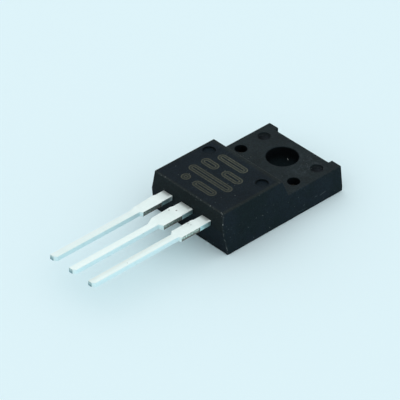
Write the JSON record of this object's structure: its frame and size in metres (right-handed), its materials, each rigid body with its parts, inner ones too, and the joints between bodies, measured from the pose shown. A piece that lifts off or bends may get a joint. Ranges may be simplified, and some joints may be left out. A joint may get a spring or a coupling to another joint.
{
  "type": "voltage regulator",
  "caption": "Fully moulded voltage regulator with a stepped black housing, screw hole through the tab and a row of straight tinned leads.",
  "frame": {"origin": "centre of the screw hole on the flat back face of the housing", "axes": "+Z along the screw hole, out of the front of the tab; +Y from the leads to the tab end; +X across, from the input lead to the output lead"},
  "size_m": [0.01, 0.0287, 0.0045],
  "materials": {
    "epoxy": "matte black moulding compound",
    "tinned_lead": "satin tin plating over copper",
    "solder": "dull solder",
    "silicon": "dark polished silicon",
    "bond_wire": "bright drawn wire"
  },
  "bodies": {
    "root": {"moulded_body": "epoxy", "input_lead": "tinned_lead", "ground_lead": "tinned_lead", "output_lead": "tinned_lead", "die_attach": "solder", "regulator_die": "silicon", "input_wire": "bond_wire", "ground_wire": "bond_wire", "output_wire": "bond_wire"}
  },
  "joints": []
}
